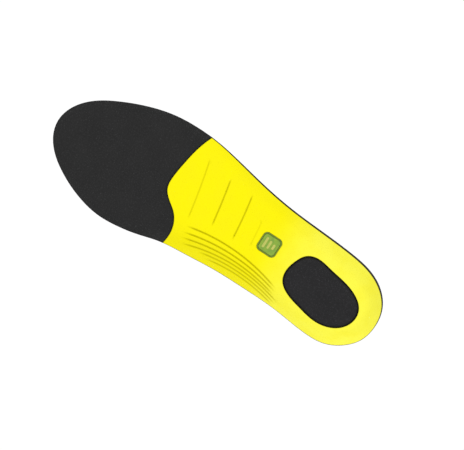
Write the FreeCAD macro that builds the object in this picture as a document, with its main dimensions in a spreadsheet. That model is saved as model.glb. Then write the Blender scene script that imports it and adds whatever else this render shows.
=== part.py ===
import FreeCAD, Part
import Sketcher
import math
import os

# Left-foot cushioned insole, lying as it is worn: sole down on z = 0, toe towards +Y, inner
# (medial) side of the foot towards +X. The origin is the middle of its box, on the sole.
#
# It is a bonded stack. From the shoe side up: a moulded cradle with a window for the heel pad,
# the base foam, the comfort foam and the top cover. Every layer follows the same bowl: a flat
# floor, and a wall that rises with the square of the distance from the floor's edge.

os.makedirs("parts", exist_ok=True)
doc = FreeCAD.newDocument("cushioned_insole")


# ---------------------------------------------------------------- driving dimensions

DIMENSIONS = (
    ("sole_length", 280.0),
    ("ball_width", 95.0),
    ("heel_thickness", 7.6),
    ("toe_thickness", 5.2),
    ("wall_thickness_share", 0.75),
    ("cradle_share", 0.34),
    ("base_share", 0.62),
    ("comfort_share", 0.90),
    ("groove_share", 0.11),
    ("form_depth", 80.0),
    ("rib_groove_width", 1.1),
    ("badge_width", 15.4),
    ("badge_length", 16.0),
    ("badge_corner", 3.6),
    ("badge_thickness", 0.9),
    ("badge_recess", 0.35),
    ("bar_width", 1.7),
    ("bar_length", 6.4),
    ("bar_step", 2.2),
    ("bar_pitch", 3.4),
    ("bar_height", 0.25),
    ("badge_across", -4.0),
    ("badge_along", -41.7),
)

sizes = doc.addObject("Spreadsheet::Sheet", "Sizes")
for row, (alias, value) in enumerate(DIMENSIONS, start=1):
    sizes.set(f"A{row}", alias)
    sizes.set(f"B{row}", str(value))
    sizes.setAlias(f"B{row}", alias)
doc.recompute()


def size(alias):
    return float(sizes.get(alias))


def bind(item, prop, expression):
    item.setExpression(prop, expression)


# ---------------------------------------------------------------- the bowl that every layer follows

# Rim stations of a 280 x 95 mm sole, from the back of the heel along the inner side to the toe
# and back along the outer side. Each row is: distance from the heel end, distance towards the
# inner side, height of the rim, and how far in from the rim the wall starts. Each wall surface
# has TURNS poles round the sole. The bands are shares of the wall that the cradle leaves bare
# under the rim, and the band widens from its inner to its outer share across the heel.
NOMINAL_LENGTH = 280.0
NOMINAL_WIDTH = 95.0
STATIONS = (
    (0.15, 3.3, 20.0, 13.0),
    (3.5, 18.6, 20.0, 13.5),
    (12.0, 28.5, 20.5, 14.0),
    (24.0, 35.2, 21.0, 14.5),
    (44.0, 36.9, 21.5, 14.0),
    (70.0, 34.6, 24.0, 15.0),
    (98.0, 34.2, 26.5, 18.0),
    (125.0, 34.8, 24.0, 20.0),
    (148.0, 36.7, 16.0, 18.0),
    (168.0, 38.9, 7.0, 13.0),
    (186.0, 43.7, 2.0, 8.0),
    (200.0, 46.4, 0.8, 6.0),
    (216.0, 47.5, 0.6, 5.0),
    (235.0, 44.2, 0.6, 5.0),
    (256.0, 35.4, 0.6, 5.0),
    (271.0, 24.4, 0.6, 5.0),
    (278.6, 12.5, 0.6, 5.0),
    (280.0, 3.0, 0.6, 5.0),
    (277.2, -7.6, 0.6, 5.0),
    (266.0, -21.5, 0.6, 5.0),
    (250.0, -31.6, 0.6, 5.0),
    (230.0, -40.3, 0.6, 5.0),
    (210.0, -45.8, 0.6, 5.0),
    (192.0, -47.5, 0.8, 6.0),
    (174.0, -47.0, 2.2, 7.0),
    (152.0, -43.7, 6.0, 10.0),
    (125.0, -38.6, 9.0, 12.0),
    (98.0, -35.1, 11.0, 13.0),
    (70.0, -33.5, 14.0, 14.0),
    (44.0, -31.8, 17.0, 14.5),
    (24.0, -28.0, 19.0, 15.0),
    (10.0, -19.8, 20.0, 14.0),
    (2.2, -8.6, 20.0, 13.0),
)
TURNS = 56
INNER_BAND = 0.015
OUTER_BAND = 0.09
BAND_OUTER_SIDE = -28.0
BAND_CHANGE_WIDTH = 40.0
SEW_TOLERANCE = 0.001


def plan(along, across):
    """A point of the sole, from its distance to the heel end and towards the inner side."""
    return FreeCAD.Vector(
        across * size("ball_width") / NOMINAL_WIDTH,
        (along - NOMINAL_LENGTH / 2) * size("sole_length") / NOMINAL_LENGTH,
        0.0,
    )


def closed_curve(points, parameters):
    curve = Part.BSplineCurve()
    curve.interpolate(Points=points, Parameters=parameters, PeriodicFlag=True)
    return curve


def chord_parameters(points):
    """Running chord length round the closed row of points."""
    lengths = [0.0]
    for here, there in zip(points, points[1:] + points[:1]):
        lengths.append(lengths[-1] + here.distanceToPoint(there))
    return lengths


outline_points = [plan(along, across) for along, across, height, run in STATIONS]
parameters = chord_parameters(outline_points)
outline = closed_curve(outline_points, parameters)

rim_points = []
foot_points = []
for point, turn, station in zip(outline_points, parameters, STATIONS):
    height, run = station[2:]
    ahead = outline.tangent(turn)[0]
    inward = FreeCAD.Vector(-ahead.y, ahead.x, 0.0)
    rim_points.append(point + FreeCAD.Vector(0.0, 0.0, height))
    foot_points.append(point + inward * run)
rim = closed_curve(rim_points, parameters)
wall_foot = closed_curve(foot_points, parameters)


def floor_thickness(along):
    """Whole thickness of the stack on the floor, thinner towards the toe."""
    toe_share = along / size("sole_length") + 0.5
    return size("heel_thickness") * (1 - toe_share) + size("toe_thickness") * toe_share


def bowl_point(turn, rise, share):
    """Point at one turn round the sole, 0..1 up the wall, at a share of the thickness."""
    rim_point = rim.value(turn)
    foot_point = wall_foot.value(turn)
    outward = FreeCAD.Vector(rim_point.x - foot_point.x, rim_point.y - foot_point.y, 0.0)
    run = outward.Length
    slope = math.atan(2 * rim_point.z / run)
    floor = floor_thickness(foot_point.y)
    wall = floor * size("wall_thickness_share")
    outer = foot_point + outward * rise
    outer.z = rim_point.z * rise**2
    inner = foot_point + outward * (rise * (1 - wall * math.sin(slope) / run))
    inner.z = floor + (rim_point.z + wall * math.cos(slope) - floor) * rise**2
    return outer * (1 - share) + inner * share


def cradle_rise(turn):
    """How far up the wall the cradle reaches: to the rim inside, short of it outside."""
    side = (rim.value(turn).x - BAND_OUTER_SIDE) / BAND_CHANGE_WIDTH
    side = min(max(side, 0.0), 1.0)
    inner_share = side * side * (3 - 2 * side)
    return 1 - INNER_BAND * inner_share - OUTER_BAND * (1 - inner_share)


def floor_edge(turn):
    return 0.0


def rim_edge(turn):
    return 1.0


def wall_surface(share, lower_edge, upper_edge):
    """Wall of one interface between two lines round it: a parabola up the wall at every turn."""
    rows = ([], [], [])
    for step in range(TURNS):
        turn = parameters[-1] * step / TURNS
        low = lower_edge(turn)
        high = upper_edge(turn)
        start = bowl_point(turn, low, share)
        end = bowl_point(turn, high, share)
        control = bowl_point(turn, (low + high) / 2, share) * 2 - (start + end) * 0.5
        for row, point in zip(rows, (start, control, end)):
            row.append(point)
    rings = [closed_curve(row, range(TURNS + 1)) for row in rows]
    poles = list(zip(*[ring.getPoles() for ring in rings]))
    around = rings[0]
    surface = Part.BSplineSurface()
    surface.buildFromPolesMultsKnots(
        poles, around.getMultiplicities(), (3, 3), around.getKnots(), (0.0, 1.0),
        True, False, around.Degree, 2,
    )
    return surface


def lower_line(surface):
    return surface.vIso(surface.bounds()[2]).toShape()


def upper_line(surface):
    return surface.vIso(surface.bounds()[3]).toShape()


def floor_face(surface):
    return Part.Face(Part.Wire([lower_line(surface)]))


def closed_solid(faces):
    skin = Part.makeCompound(faces)
    skin.sewShape(SEW_TOLERANCE)
    solid = Part.makeSolid(skin.Shells[0])
    if solid.Volume < 0:
        solid.reverse()
    return solid


def bonded_layer(lower_share, upper_share, upper_edge):
    """Solid between two interfaces, up to one line round the wall."""
    lower = wall_surface(lower_share, floor_edge, upper_edge)
    upper = wall_surface(upper_share, floor_edge, upper_edge)
    edge_strip = Part.makeRuledSurface(upper_line(lower), upper_line(upper))
    return closed_solid(
        [lower.toShape(), upper.toShape(), floor_face(lower), floor_face(upper), edge_strip]
    )


def base_layer():
    """The base foam: over the cradle, and out over its top edge to the sole's own skin."""
    cradle_share = size("cradle_share")
    over_cradle = wall_surface(cradle_share, floor_edge, cradle_rise)
    band = wall_surface(0.0, cradle_rise, rim_edge)
    upper = wall_surface(size("base_share"), floor_edge, rim_edge)
    ledge = Part.makeRuledSurface(upper_line(over_cradle), lower_line(band))
    edge_strip = Part.makeRuledSurface(upper_line(band), upper_line(upper))
    faces = [over_cradle.toShape(), ledge, band.toShape(), edge_strip, upper.toShape()]
    return closed_solid(faces + [floor_face(over_cradle), floor_face(upper)])


def solid_feature(name, shape):
    feature = doc.addObject("Part::Feature", name)
    feature.Shape = shape
    return feature


cradle_layer = solid_feature("cradle_layer", bonded_layer(0.0, size("cradle_share"), cradle_rise))
groove_layer = solid_feature("groove_layer", bonded_layer(0.0, size("groove_share"), cradle_rise))
base_stock = solid_feature("base_stock", base_layer())
comfort_foam = solid_feature(
    "comfort_foam", bonded_layer(size("base_share"), size("comfort_share"), rim_edge)
)
top_cover = solid_feature("top_cover", bonded_layer(size("comfort_share"), 1.0, rim_edge))


# ---------------------------------------------------------------- forms that trim the layers


def plane_of(body, role):
    return next(plane for plane in body.Origin.OriginFeatures if plane.Role == role)


def form_body(name, curves):
    """Upright form over closed outlines drawn on the sole's plane, padded both ways."""
    body = doc.addObject("PartDesign::Body", name)
    sketch = body.newObject("Sketcher::SketchObject", name + "_sketch")
    sketch.AttachmentSupport = (plane_of(body, "XY_Plane"), [""])
    sketch.MapMode = "FlatFace"
    for curve in curves:
        sketch.addGeometry(curve, False)
    pad = body.newObject("PartDesign::Pad", name + "_pad")
    pad.Profile = sketch
    bind(pad, "Length", "Sizes.form_depth")
    pad.SideType = "Symmetric"
    return body


def smooth_loop(points):
    placed = [plan(*point) for point in points]
    return closed_curve(placed, chord_parameters(placed))


def smooth_line(points):
    curve = Part.BSplineCurve()
    curve.interpolate([plan(*point) for point in points])
    return curve


# Front edge of the cradle, from the inner side to the outer side: cut back beside the big-toe
# joint, with a tongue forward under the middle of the foot.
CRADLE_FRONT = (
    (166.0, 60.0),
    (165.5, 38.0),
    (164.5, 30.0),
    (167.0, 20.3),
    (171.5, 14.3),
    (178.5, 9.0),
    (184.3, 2.5),
    (185.5, -8.0),
    (184.0, -21.0),
    (180.5, -38.0),
    (177.5, -47.5),
    (173.0, -60.0),
)
BEHIND_HEEL = -10.0
front_edge = smooth_line(CRADLE_FRONT)
corners = [
    plan(*CRADLE_FRONT[-1]),
    plan(BEHIND_HEEL, CRADLE_FRONT[-1][1]),
    plan(BEHIND_HEEL, CRADLE_FRONT[0][1]),
    plan(*CRADLE_FRONT[0]),
]
sides = [Part.LineSegment(here, there) for here, there in zip(corners, corners[1:])]
cradle_form = form_body("cradle_form", [front_edge] + sides)

# Window under the heel, wider at its front, turned a little to the outer side.
HEEL_WINDOW = (
    (15.1, 5.5),
    (18.5, 16.0),
    (28.0, 23.0),
    (40.0, 25.1),
    (55.0, 22.7),
    (68.0, 18.9),
    (75.6, 13.0),
    (77.6, 4.5),
    (75.4, -4.5),
    (71.2, -11.6),
    (64.5, -14.9),
    (50.0, -13.7),
    (36.0, -11.3),
    (24.0, -7.0),
    (17.0, -0.8),
)
window_form = form_body("window_form", [smooth_loop(HEEL_WINDOW)])

# Soft insert under the ball of the foot.
BALL_PAD = (
    (180.0, 8.0),
    (193.0, 31.0),
    (212.0, 33.0),
    (226.0, 14.0),
    (222.0, -14.0),
    (202.0, -31.0),
    (184.0, -22.0),
)
ball_form = form_body("ball_form", [smooth_loop(BALL_PAD)])


def groove_outline(start, middle, end, width):
    """Closed outline of one groove: an arc through three points, as wide as asked."""
    line_points = [plan(*point) for point in (start, middle, end)]
    centre_line = Part.ArcOfCircle(*line_points)
    edges = []
    for shift in (-width / 2, width / 2):
        scale = 1 + shift / centre_line.Radius
        shifted = [centre_line.Center + (point - centre_line.Center) * scale for point in line_points]
        edges.append(Part.ArcOfCircle(*shifted))
    near, far = edges
    edges.append(Part.LineSegment(near.StartPoint, far.StartPoint))
    edges.append(Part.LineSegment(near.EndPoint, far.EndPoint))
    return edges


# Flexing grooves along the arch wall, fanned out from the heel: start, middle and end.
ARCH_RIBS = (
    ((80.0, 19.8), (120.0, 13.6), (154.0, 17.3)),
    ((79.0, 22.3), (118.0, 17.4), (154.0, 22.3)),
    ((79.0, 24.8), (116.0, 20.6), (153.0, 26.3)),
    ((73.0, 28.3), (114.0, 23.2), (151.0, 30.0)),
    ((75.0, 30.0), (108.0, 25.7), (137.0, 28.8)),
    ((76.0, 32.0), (106.0, 28.2), (130.0, 30.4)),
)


def groove_outlines(grooves, width):
    outlines = []
    for groove in grooves:
        outlines += groove_outline(*groove, width)
    return outlines


rib_form = form_body("rib_form", groove_outlines(ARCH_RIBS, size("rib_groove_width")))


# ---------------------------------------------------------------- badge


def sketched_body(name):
    """Body that lies over the badge's place, with an empty sketch on its own base plane."""
    body = doc.addObject("PartDesign::Body", name)
    sketch = body.newObject("Sketcher::SketchObject", name + "_sketch")
    sketch.AttachmentSupport = (plane_of(body, "XY_Plane"), [""])
    sketch.MapMode = "FlatFace"
    bind(body, "Placement.Base.x", "Sizes.badge_across")
    bind(body, "Placement.Base.y", "Sizes.badge_along")
    return body, sketch


def padded(body, sketch, length):
    pad = body.newObject("PartDesign::Pad", body.Name + "_pad")
    pad.Profile = sketch
    bind(pad, "Length", length)
    doc.recompute()
    return pad


def badge_body(name, thickness):
    """Rounded square plate."""
    body, sketch = sketched_body(name)
    half_width = size("badge_width") / 2
    half_length = size("badge_length") / 2
    corners = [
        FreeCAD.Vector(half_width, half_length),
        FreeCAD.Vector(-half_width, half_length),
        FreeCAD.Vector(-half_width, -half_length),
        FreeCAD.Vector(half_width, -half_length),
    ]
    for here, there in zip(corners, corners[1:] + corners[:1]):
        sketch.addGeometry(Part.LineSegment(here, there), False)
    for side in range(4):
        sketch.addConstraint(Sketcher.Constraint("Coincident", side, 2, (side + 1) % 4, 1))
    for side in (0, 2):
        sketch.addConstraint(Sketcher.Constraint("Horizontal", side))
    for side in (1, 3):
        sketch.addConstraint(Sketcher.Constraint("Vertical", side))
    sketch.addConstraint(Sketcher.Constraint("Symmetric", 0, 1, 2, 1, -1, 1))
    wide = sketch.addConstraint(Sketcher.Constraint("DistanceX", 0, 2, 0, 1, half_width * 2))
    tall = sketch.addConstraint(Sketcher.Constraint("DistanceY", 1, 2, 1, 1, half_length * 2))
    bind(sketch, f"Constraints[{wide}]", "Sizes.badge_width")
    bind(sketch, f"Constraints[{tall}]", "Sizes.badge_length")
    pad = padded(body, sketch, thickness)
    upright_edges = []
    for number, edge in enumerate(pad.Shape.Edges, start=1):
        start, end = [vertex.Point for vertex in edge.Vertexes]
        if math.isclose(abs(end.z - start.z), edge.Length):
            upright_edges.append(f"Edge{number}")
    fillet = body.newObject("PartDesign::Fillet", name + "_corners")
    fillet.Base = (pad, upright_edges)
    bind(fillet, "Radius", "Sizes.badge_corner")
    return body


def badge_bars(name):
    """Plain mark on the plate: three round-ended bars in a stack, each shorter than the last."""
    body, sketch = sketched_body(name)
    radius = size("bar_width") / 2
    for number in (-1, 0, 1):
        middle = number * size("bar_pitch")
        half = (size("bar_length") + number * size("bar_step")) / 2 - radius
        upper = FreeCAD.Vector(0.0, middle + radius)
        lower = FreeCAD.Vector(0.0, middle - radius)
        reach = FreeCAD.Vector(half, 0.0)
        tip = FreeCAD.Vector(half + radius, middle)
        far_tip = FreeCAD.Vector(-half - radius, middle)
        sketch.addGeometry(Part.LineSegment(upper - reach, upper + reach), False)
        sketch.addGeometry(Part.ArcOfCircle(upper + reach, tip, lower + reach), False)
        sketch.addGeometry(Part.LineSegment(lower + reach, lower - reach), False)
        sketch.addGeometry(Part.ArcOfCircle(lower - reach, far_tip, upper - reach), False)
    padded(body, sketch, "Sizes.bar_height")
    return body


badge_pocket = badge_body("badge_pocket", "Sizes.badge_thickness + Sizes.badge_recess")
badge_plate = badge_body("badge_plate", "Sizes.badge_thickness")
bind(badge_plate, "Placement.Base.z", "Sizes.badge_recess")
badge_symbol = badge_bars("badge_symbol")
bind(badge_symbol, "Placement.Base.z", "Sizes.badge_recess - Sizes.bar_height")


# ---------------------------------------------------------------- pieces cut from the layers


def boolean(kind, name, base, tool):
    feature = doc.addObject("Part::" + kind, name)
    feature.Base = base
    feature.Tool = tool
    return feature


heel_pad = boolean("Common", "heel_pad", cradle_layer, window_form)
trimmed_cradle = boolean("Common", "trimmed_cradle", cradle_layer, cradle_form)
open_cradle = boolean("Cut", "open_cradle", trimmed_cradle, window_form)
rib_grooves = boolean("Common", "rib_grooves", groove_layer, rib_form)
ribbed_cradle = boolean("Cut", "ribbed_cradle", open_cradle, rib_grooves)
arch_cradle = boolean("Cut", "arch_cradle", ribbed_cradle, badge_pocket)

ball_pad = boolean("Common", "ball_pad", base_stock, ball_form)
pocketed_base = boolean("Cut", "pocketed_base", base_stock, ball_form)
forefoot_skin = boolean("Cut", "forefoot_skin", cradle_layer, cradle_form)
base_foam = doc.addObject("Part::MultiFuse", "base_foam")
base_foam.Shapes = [pocketed_base, forefoot_skin]
base_foam.Refine = True


# ---------------------------------------------------------------- check and write

SUB_PARTS = (
    arch_cradle,
    heel_pad,
    badge_plate,
    badge_symbol,
    base_foam,
    ball_pad,
    comfort_foam,
    top_cover,
)
doc.recompute()
for item in doc.Objects:
    if "Invalid" in item.State or "Error" in item.State:
        raise RuntimeError(f"{item.Name} did not compute: {item.State}")
for piece in SUB_PARTS:
    if piece.Shape.isNull() or not piece.Shape.isValid():
        raise RuntimeError(f"{piece.Name} has no valid shape")
for piece in SUB_PARTS:
    piece.Label = piece.Name
    piece.Shape.exportStep(f"parts/{piece.Label}.step")
    box = piece.Shape.BoundBox
    print(
        f"{piece.Label}: {len(piece.Shape.Solids)} solid, {piece.Shape.Volume:.0f} mm3,",
        f"x {box.XMin:.1f}..{box.XMax:.1f}, y {box.YMin:.1f}..{box.YMax:.1f},",
        f"z {box.ZMin:.2f}..{box.ZMax:.2f}",
    )
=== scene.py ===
import math

import bpy
import numpy as np
from mathutils import Matrix, Vector
from mathutils.bvhtree import BVHTree


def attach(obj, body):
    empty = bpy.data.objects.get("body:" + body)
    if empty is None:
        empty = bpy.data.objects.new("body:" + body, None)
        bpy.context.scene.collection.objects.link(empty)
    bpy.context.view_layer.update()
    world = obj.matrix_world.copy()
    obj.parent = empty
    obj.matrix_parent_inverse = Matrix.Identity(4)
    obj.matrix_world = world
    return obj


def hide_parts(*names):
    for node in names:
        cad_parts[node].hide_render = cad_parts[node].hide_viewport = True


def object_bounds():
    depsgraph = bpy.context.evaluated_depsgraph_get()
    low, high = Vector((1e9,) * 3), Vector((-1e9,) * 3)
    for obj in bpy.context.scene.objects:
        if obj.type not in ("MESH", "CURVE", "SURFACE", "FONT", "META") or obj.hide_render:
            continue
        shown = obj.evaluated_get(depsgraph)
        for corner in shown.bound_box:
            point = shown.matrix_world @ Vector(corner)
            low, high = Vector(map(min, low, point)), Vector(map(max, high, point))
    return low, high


# A left-foot cushioned insole, sole down. The pieces are fine meshes over the same bowl as the
# CAD frame: a flat floor, and a wall that rises with the square of the distance from its foot.
# Lengths are millimetres up to the studio; MM turns them into metres.

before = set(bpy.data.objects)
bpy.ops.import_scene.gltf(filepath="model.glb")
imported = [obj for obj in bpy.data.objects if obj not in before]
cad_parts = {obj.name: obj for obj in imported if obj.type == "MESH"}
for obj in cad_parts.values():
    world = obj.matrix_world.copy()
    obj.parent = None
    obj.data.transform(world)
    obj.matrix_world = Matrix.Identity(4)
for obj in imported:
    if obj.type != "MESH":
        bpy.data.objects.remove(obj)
cad_low, cad_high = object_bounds()
MM = 0.001
SOLE_LENGTH = 280.0
TAU = 2 * math.pi

# ---------------------------------------------------------------- splines and the bowl


def smooth(value):
    """Soft step from 0 at 0 to 1 at 1."""
    value = np.clip(value, 0.0, 1.0)
    return value * value * (3 - 2 * value)


def chord_knots(points, closed):
    """Running chord length along a row of points."""
    row = np.vstack([points, points[:1]]) if closed else np.asarray(points)
    steps = np.linalg.norm(np.diff(row, axis=0), axis=1)
    return np.concatenate([[0.0], np.cumsum(steps)])


class Spline:
    """Smooth cubic curve through rows of values, closed or with free ends."""

    def __init__(self, knots, values, closed):
        self.knots = np.asarray(knots, float)
        values = np.asarray(values, float)
        self.closed = closed
        self.values = np.vstack([values, values[:1]]) if closed else values
        spans = np.diff(self.knots)
        slopes = np.diff(self.values, axis=0) / spans[:, None]
        count = len(values)
        system = np.zeros((count, count))
        right = np.zeros_like(values)
        for i in range(count):
            if not closed and i in (0, count - 1):
                system[i, i] = 1.0
                continue
            before, after = spans[i - 1], spans[i % len(spans)]
            system[i, i - 1] += before
            system[i, i] += 2 * (before + after)
            system[i, (i + 1) % count] += after
            right[i] = 6 * (slopes[i % len(slopes)] - slopes[i - 1])
        bends = np.linalg.solve(system, right)
        self.bends = np.vstack([bends, bends[:1]]) if closed else bends

    def _cubic(self, at):
        """Each place's distance into its span, the span, and the cubic that runs along it."""
        at = np.atleast_1d(np.asarray(at, float))
        if self.closed:
            at = np.mod(at, self.knots[-1])
        number = np.clip(np.searchsorted(self.knots, at, side="right") - 1, 0, len(self.knots) - 2)
        along = (at - self.knots[number])[:, None]
        span = (self.knots[number + 1] - self.knots[number])[:, None]
        start, end = self.values[number], self.values[number + 1]
        low, high = self.bends[number], self.bends[number + 1]
        slope = (end - start) / span - span * (2 * low + high) / 6
        return along, span, start, slope, low, high

    def __call__(self, at):
        along, span, start, slope, low, high = self._cubic(at)
        return start + along * (slope + along * (low / 2 + along * (high - low) / (6 * span)))

    def ahead(self, at):
        """The curve's direction, as its first derivative."""
        along, span, _, slope, low, high = self._cubic(at)
        return slope + along * (low + along * (high - low) / (2 * span))


# Stations of the CAD frame's rim: distance from the heel end, distance towards the inner side,
# height of the rim, and how far in from the rim the wall starts.
STATIONS = np.array((
    (0.15, 3.3, 20.0, 13.0),
    (3.5, 18.6, 20.0, 13.5),
    (12.0, 28.5, 20.5, 14.0),
    (24.0, 35.2, 21.0, 14.5),
    (44.0, 36.9, 21.5, 14.0),
    (70.0, 34.6, 24.0, 15.0),
    (98.0, 34.2, 26.5, 18.0),
    (125.0, 34.8, 24.0, 20.0),
    (148.0, 36.7, 16.0, 18.0),
    (168.0, 38.9, 7.0, 13.0),
    (186.0, 43.7, 2.0, 8.0),
    (200.0, 46.4, 0.8, 6.0),
    (216.0, 47.5, 0.6, 5.0),
    (235.0, 44.2, 0.6, 5.0),
    (256.0, 35.4, 0.6, 5.0),
    (271.0, 24.4, 0.6, 5.0),
    (278.6, 12.5, 0.6, 5.0),
    (280.0, 3.0, 0.6, 5.0),
    (277.2, -7.6, 0.6, 5.0),
    (266.0, -21.5, 0.6, 5.0),
    (250.0, -31.6, 0.6, 5.0),
    (230.0, -40.3, 0.6, 5.0),
    (210.0, -45.8, 0.6, 5.0),
    (192.0, -47.5, 0.8, 6.0),
    (174.0, -47.0, 2.2, 7.0),
    (152.0, -43.7, 6.0, 10.0),
    (125.0, -38.6, 9.0, 12.0),
    (98.0, -35.1, 11.0, 13.0),
    (70.0, -33.5, 14.0, 14.0),
    (44.0, -31.8, 17.0, 14.5),
    (24.0, -28.0, 19.0, 15.0),
    (10.0, -19.8, 20.0, 14.0),
    (2.2, -8.6, 20.0, 13.0),
))
# The shares are of the whole thickness, from the sole up, and name the top of each layer. The
# bands are shares of the wall that the cradle leaves bare under the rim.
HEEL_THICKNESS = 7.6
TOE_THICKNESS = 5.2
WALL_THICKNESS_SHARE = 0.75
CRADLE_SHARE = 0.34
BASE_SHARE = 0.62
COMFORT_SHARE = 0.90
INNER_BAND = 0.015
OUTER_BAND = 0.09
BAND_OUTER_SIDE = -28.0
BAND_CHANGE_WIDTH = 40.0


def plan(rows):
    """Plan points, from rows of distance to the heel end and towards the inner side."""
    rows = np.asarray(rows, float)
    return np.stack([rows[:, 1], rows[:, 0] - SOLE_LENGTH / 2], axis=1)


outline_points = plan(STATIONS)
knots = chord_knots(outline_points, True)
ROUND = knots[-1]
outline = Spline(knots, outline_points, True)
heading = outline.ahead(knots[:-1])
heading /= np.linalg.norm(heading, axis=1)[:, None]
inward = np.stack([-heading[:, 1], heading[:, 0]], axis=1)
rim = Spline(knots, np.column_stack([outline_points, STATIONS[:, 2]]), True)
wall_foot = Spline(knots, outline_points + inward * STATIONS[:, 3:], True)


def floor_thickness(along):
    toe_share = along / SOLE_LENGTH + 0.5
    return HEEL_THICKNESS * (1 - toe_share) + TOE_THICKNESS * toe_share


def bowl(turn, rise, share):
    """Points at turns round the sole, 0..1 up the wall, at a share of the thickness."""
    rims, feet = rim(turn), wall_foot(turn)
    rise = np.broadcast_to(rise, len(rims))
    outward = rims[:, :2] - feet
    run = np.linalg.norm(outward, axis=1)
    slope = np.arctan(2 * rims[:, 2] / run)
    thick = floor_thickness(feet[:, 1])
    wall = thick * WALL_THICKNESS_SHARE
    outer = np.column_stack([feet + outward * rise[:, None], rims[:, 2] * rise**2])
    inner_run = rise * (1 - wall * np.sin(slope) / run)
    inner_top = rims[:, 2] + wall * np.cos(slope)
    inner = np.column_stack([feet + outward * inner_run[:, None], thick + (inner_top - thick) * rise**2])
    return outer * (1 - share) + inner * share


def cradle_rise(turn):
    """How far up the wall the cradle reaches: to the rim inside, short of it outside."""
    inner_share = smooth((rim(turn)[:, 0] - BAND_OUTER_SIDE) / BAND_CHANGE_WIDTH)
    return 1 - INNER_BAND * inner_share - OUTER_BAND * (1 - inner_share)


# ---------------------------------------------------------------- heights of the interfaces

# CENTRE is the plan point where the faces of each full-length layer close.
CENTRE = np.array([-2.0, -12.0])
GUIDE_TURNS = 900
GUIDE_RISES = 36
PAST_RIM = 1.06
FAR_BELOW = -50.0


def interface(share):
    """Gives a function that finds the height of one interface over any plan point."""
    turns = np.linspace(0.0, ROUND, GUIDE_TURNS, endpoint=False)
    rises = np.linspace(PAST_RIM, 0.0, GUIDE_RISES)
    rows = [bowl(turns, rise, share) for rise in rises]
    middle = np.array([*CENTRE, share * floor_thickness(CENTRE[1])])
    points = np.vstack(rows + [middle])
    faces = []
    for row in range(GUIDE_RISES - 1):
        for turn in range(GUIDE_TURNS):
            beside = (turn + 1) % GUIDE_TURNS
            low, high = row * GUIDE_TURNS, (row + 1) * GUIDE_TURNS
            faces.append((low + turn, low + beside, high + beside, high + turn))
    last = (GUIDE_RISES - 1) * GUIDE_TURNS
    for turn in range(GUIDE_TURNS):
        faces.append((last + turn, last + (turn + 1) % GUIDE_TURNS, len(points) - 1))
    tree = BVHTree.FromPolygons(points.tolist(), faces)
    up = Vector((0.0, 0.0, 1.0))

    def height(flat_points):
        found = np.empty(len(flat_points))
        for number, (x, y) in enumerate(flat_points):
            hit = tree.ray_cast(Vector((x, y, FAR_BELOW)), up)[0]
            if hit is None:
                hit = tree.find_nearest(Vector((x, y, 0.0)))[0]
            found[number] = hit.z
        return found

    return height


sole_height = interface(0.0)
cradle_top_height = interface(CRADLE_SHARE)

# ---------------------------------------------------------------- nested loops of the underside

# The underside is one web of rays: out from the middle of the heel window, over the window's
# edge, over the cradle's edge, to the rim. Rays 0..FRONT_RAYS-1 cross the cradle's front edge.
# The cradle's two front corners are given by their distance from the heel end, the window's two
# by the number of their point in its outline. Outline points hold a distance from the heel end
# and a distance towards the inner side.
FRONT_RAYS = 340
REAR_RAYS = 620
INNER_CORNER = 165.6
OUTER_CORNER = 177.4
CRADLE_FRONT = (
    (164.6, 30.0),
    (167.0, 20.3),
    (171.5, 14.3),
    (178.5, 9.0),
    (184.3, 2.5),
    (185.5, -8.0),
    (184.0, -21.0),
    (180.5, -38.0),
)
HEEL_WINDOW = (
    (15.1, 5.5),
    (18.5, 16.0),
    (28.0, 23.0),
    (40.0, 25.1),
    (55.0, 22.7),
    (68.0, 18.9),
    (75.6, 13.0),
    (77.6, 4.5),
    (75.4, -4.5),
    (71.2, -11.6),
    (64.5, -14.9),
    (50.0, -13.7),
    (36.0, -11.3),
    (24.0, -7.0),
    (17.0, -0.8),
)
WINDOW_INNER_CORNER = 5
WINDOW_OUTER_CORNER = 10
TURN_SAMPLES = 4000
WRONG_SIDE = 1000.0
CROWD_SAMPLES = 600
STEPS_SHARE = 0.2


def turn_at(along, side):
    """The turn where the cradle's top edge is that far along, on the inner (+) or outer side."""
    turns = np.linspace(0.0, ROUND, TURN_SAMPLES, endpoint=False)
    points = bowl(turns, cradle_rise(turns), 0.0)
    gaps = np.abs(points[:, 1] - (along - SOLE_LENGTH / 2)) + WRONG_SIDE * (points[:, 0] * side < 0)
    return turns[np.argmin(gaps)]


def spread(start, end, count):
    """Even values from a start to just before an end."""
    return np.linspace(start, end, count, endpoint=False)


inner_turn = turn_at(INNER_CORNER, 1)
outer_turn = turn_at(OUTER_CORNER, -1)
toe_turns = spread(inner_turn, outer_turn, FRONT_RAYS)
rear_turns = spread(outer_turn, inner_turn + ROUND, REAR_RAYS)
all_turns = np.concatenate([toe_turns, rear_turns])

corner_turns = np.array([inner_turn, outer_turn])
corners = bowl(corner_turns, cradle_rise(corner_turns), 0.0)[:, :2]
front_points = np.vstack([corners[:1], plan(CRADLE_FRONT), corners[1:]])
front_knots = chord_knots(front_points, False)
front_curve = Spline(front_knots, front_points, False)
front_edge = front_curve(spread(0.0, front_knots[-1], FRONT_RAYS))
rear_edge = bowl(rear_turns, cradle_rise(rear_turns), 0.0)[:, :2]
cradle_loop = np.vstack([front_edge, rear_edge])

window_points = plan(HEEL_WINDOW)
window_knots = chord_knots(window_points, True)
window = Spline(window_knots, window_points, True)
window_start = window_knots[WINDOW_INNER_CORNER]
window_turn = window_knots[WINDOW_OUTER_CORNER]
window_loop = window(np.concatenate([
    spread(window_start, window_turn, FRONT_RAYS),
    spread(window_turn, window_start + window_knots[-1], REAR_RAYS),
]))
rim_loop = bowl(all_turns, 1.0, 0.0)[:, :2]
PAD_CENTRE = window_points.mean(axis=0)


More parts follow.
